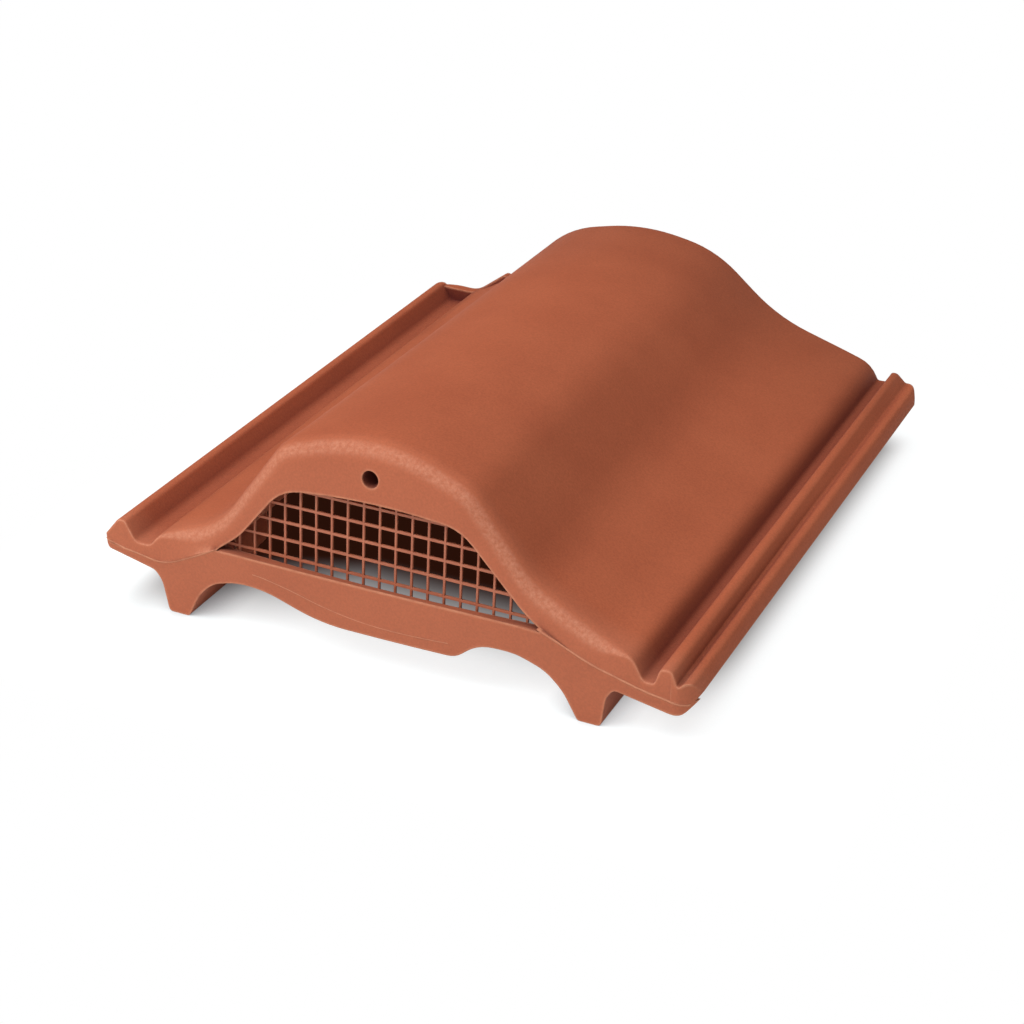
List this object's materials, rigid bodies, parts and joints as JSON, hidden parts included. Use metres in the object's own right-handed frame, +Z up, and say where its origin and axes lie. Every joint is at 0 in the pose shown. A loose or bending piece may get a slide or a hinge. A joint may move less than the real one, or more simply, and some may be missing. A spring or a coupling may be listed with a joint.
{
  "type": "roof ventilation tile",
  "caption": "Cast roof tile with a raised hood whose arched front is a vent closed by wire mesh, a rail along one edge and a water lock along the other.",
  "frame": {"origin": "centre of the footprint, on the ground plane under the feet", "axes": "+X across the tile from the rail to the water lock, +Y from the eave end with the vent to the head end, +Z up"},
  "size_m": [0.37, 0.4, 0.1311],
  "materials": {
    "cast_tile": "matt, fine-grained",
    "mesh_wire": "matt, tile-coloured"
  },
  "bodies": {
    "root": {"tile_body": "cast_tile", "vent_mesh": "mesh_wire"}
  },
  "joints": []
}
